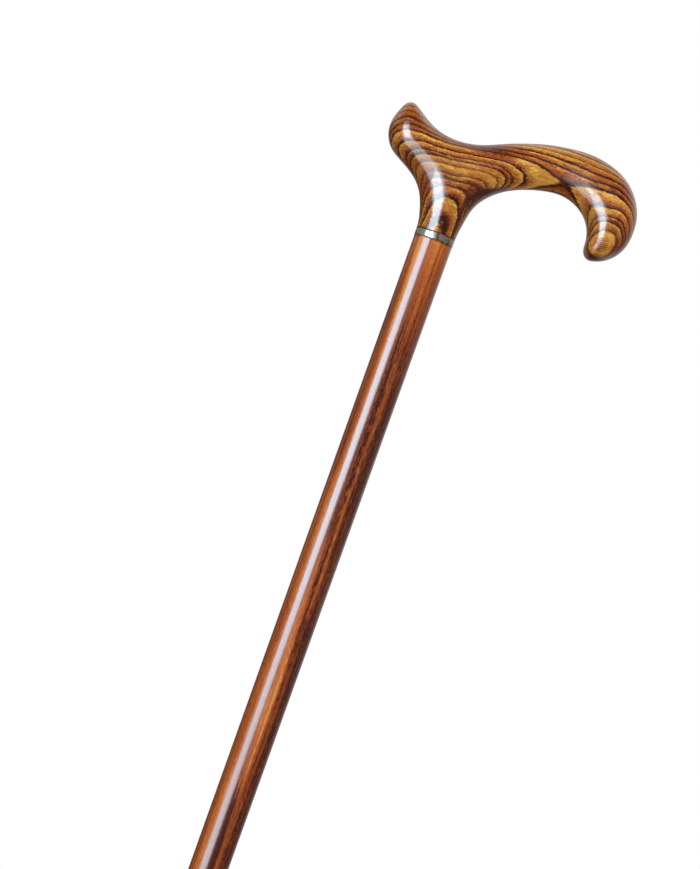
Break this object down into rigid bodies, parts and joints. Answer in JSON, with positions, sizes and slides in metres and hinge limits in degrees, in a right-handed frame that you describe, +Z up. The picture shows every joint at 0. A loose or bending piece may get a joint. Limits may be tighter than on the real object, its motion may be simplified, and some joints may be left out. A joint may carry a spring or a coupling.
{
  "type": "walking stick",
  "caption": "Wooden walking stick with a carved derby handle, a narrow metal collar, a tapering round shaft and a push-on rubber ferrule.",
  "frame": {"origin": "centre of the flat pad under the ferrule, where the stick stands on the ground", "axes": "+Z up along the shaft to the handle, +X towards the nose of the handle, +Y across the handle"},
  "size_m": [0.1332, 0.033, 0.92],
  "materials": {
    "handle_wood": "golden orange striped ash, clear gloss lacquer",
    "collar_metal": "dull grey nickel band, lightly tarnished",
    "shaft_wood": "red brown stained hardwood with scorched streaks, clear gloss lacquer",
    "pin_steel": "plain turned steel",
    "ferrule_rubber": "matt black moulded rubber",
    "disc_steel": "plain pressed steel"
  },
  "bodies": {
    "stick": {"shaft": "shaft_wood", "collar": "collar_metal", "handle": "handle_wood", "joint_pin": "pin_steel"},
    "ferrule": {"ferrule": "ferrule_rubber", "ferrule_disc": "disc_steel"}
  },
  "joints": [
    {"name": "ferrule_pull", "type": "slide", "parent": "stick", "child": "ferrule", "axis": [0, 0, -1], "range_m": [0, 0.045]}
  ]
}
